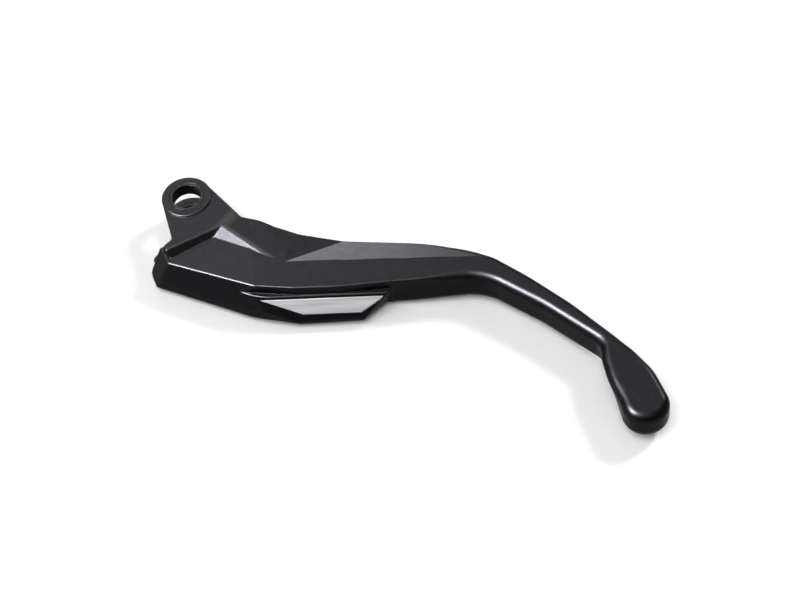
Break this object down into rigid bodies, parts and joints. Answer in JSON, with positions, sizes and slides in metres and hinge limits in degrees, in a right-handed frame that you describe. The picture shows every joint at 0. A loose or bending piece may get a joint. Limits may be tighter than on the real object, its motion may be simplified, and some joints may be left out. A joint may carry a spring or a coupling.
{
  "type": "motorcycle hand lever",
  "caption": "Hand lever with a forked pivot eye, a faceted nose, a straight blade that bends to a round-ended paddle, a blank badge plate, and a swivelling barrel with a push screw.",
  "frame": {"origin": "on the pivot axis, midway between the two fork ears", "axes": "+Z along the pivot axis towards the upper side, +X along the straight part of the blade towards the tip, +Y towards the handlebar side"},
  "size_m": [0.1742, 0.1061, 0.0164],
  "materials": {
    "black_coat": "satin black powder coat over milled aluminium",
    "bush_polymer": "burnished black polymer liner",
    "adhesive": "thin foam tape",
    "badge_silver": "fine satin silver, blank",
    "stop_rubber": "moulded matt rubber",
    "bearing_brass": "turned",
    "spring_steel": "phosphated",
    "zinc_steel": "bright zinc",
    "nylon": "natural nylon"
  },
  "bodies": {
    "lever": {"lever_body": "black_coat", "upper_pivot_bush": "bush_polymer", "lower_pivot_bush": "bush_polymer", "badge_adhesive": "adhesive", "badge_plate": "badge_silver", "stop_pad": "stop_rubber", "barrel_clip": "spring_steel"},
    "barrel": {"push_barrel": "bearing_brass", "lock_pellet": "nylon"},
    "cup": {"push_cup": "bearing_brass"},
    "screw": {"push_screw": "zinc_steel"}
  },
  "joints": [
    {"name": "barrel_swivel", "type": "hinge", "parent": "lever", "child": "barrel", "pos_m": [0.0205, -0.019, 0], "axis": [0, 0, 1], "range_deg": [-10, 10]},
    {"name": "cup_slide", "type": "slide", "parent": "barrel", "child": "cup", "axis": [0.4695, 0.8829, 0], "range_m": [-0.001, 0.001]},
    {"name": "screw_turn", "type": "hinge", "parent": "cup", "child": "screw", "pos_m": [0.0205, -0.019, 0], "axis": [0.4695, 0.8829, 0], "range_deg": [-455, 455]}
  ],
  "couplings": [
    {"joint": "screw_turn", "follows": "cup_slide", "rad_per_m": 7854}
  ]
}
